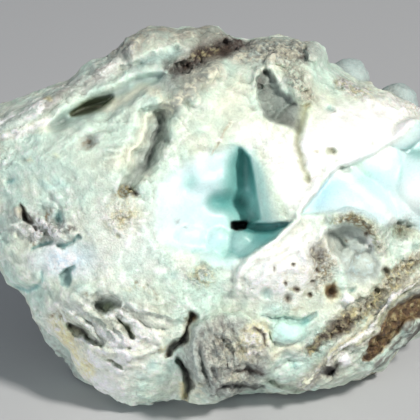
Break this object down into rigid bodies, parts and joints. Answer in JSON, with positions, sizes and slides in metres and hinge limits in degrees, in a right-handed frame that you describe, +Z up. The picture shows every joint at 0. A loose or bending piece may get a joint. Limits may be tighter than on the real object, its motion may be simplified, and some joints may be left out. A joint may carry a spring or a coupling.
{
  "type": "hemimorphite specimen",
  "caption": "Hand specimen of pale blue-green botryoidal hemimorphite with a main hollow lined in smooth domes, brown limonite patches and a flat-bottomed resting attitude.",
  "frame": {"origin": "on the resting surface, under the middle of the stone's bounding box", "axes": "+Z up, +X along the stone's length, the face with the main hollow towards -Y"},
  "size_m": [0.0981, 0.0671, 0.0682],
  "materials": {
    "hemimorphite": "waxy, rough"
  },
  "bodies": {
    "root": {"hemimorphite": "hemimorphite"}
  },
  "joints": []
}
